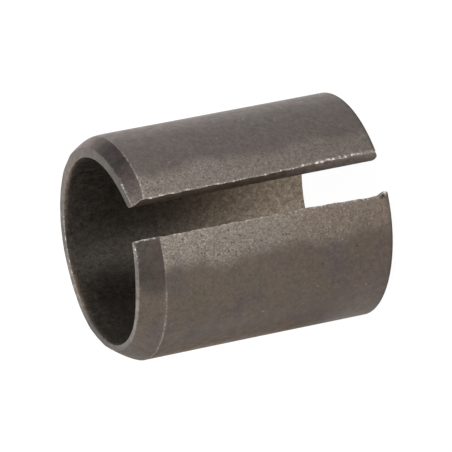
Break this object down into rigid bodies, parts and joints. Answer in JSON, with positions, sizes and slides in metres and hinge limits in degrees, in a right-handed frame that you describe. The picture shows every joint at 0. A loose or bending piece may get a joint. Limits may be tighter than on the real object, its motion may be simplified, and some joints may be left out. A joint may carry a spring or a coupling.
{
  "type": "split mounting bushing",
  "caption": "Rolled steel sleeve with a straight open gap and a tapered lead-in, pressed into a bracket's hole to carry its mounting bolt.",
  "frame": {"origin": "on the sleeve's axis, in the plane of its plain end", "axes": "+Z along the axis towards the tapered lead-in; the gap is centred on -Y; +X is towards the lip with the rounded corner"},
  "size_m": [0.015, 0.0149, 0.0175],
  "materials": {
    "phosphated_steel": "dark phosphate coat, lightly oiled, satin, with a fine grain"
  },
  "bodies": {
    "root": {"sleeve": "phosphated_steel"}
  },
  "joints": []
}
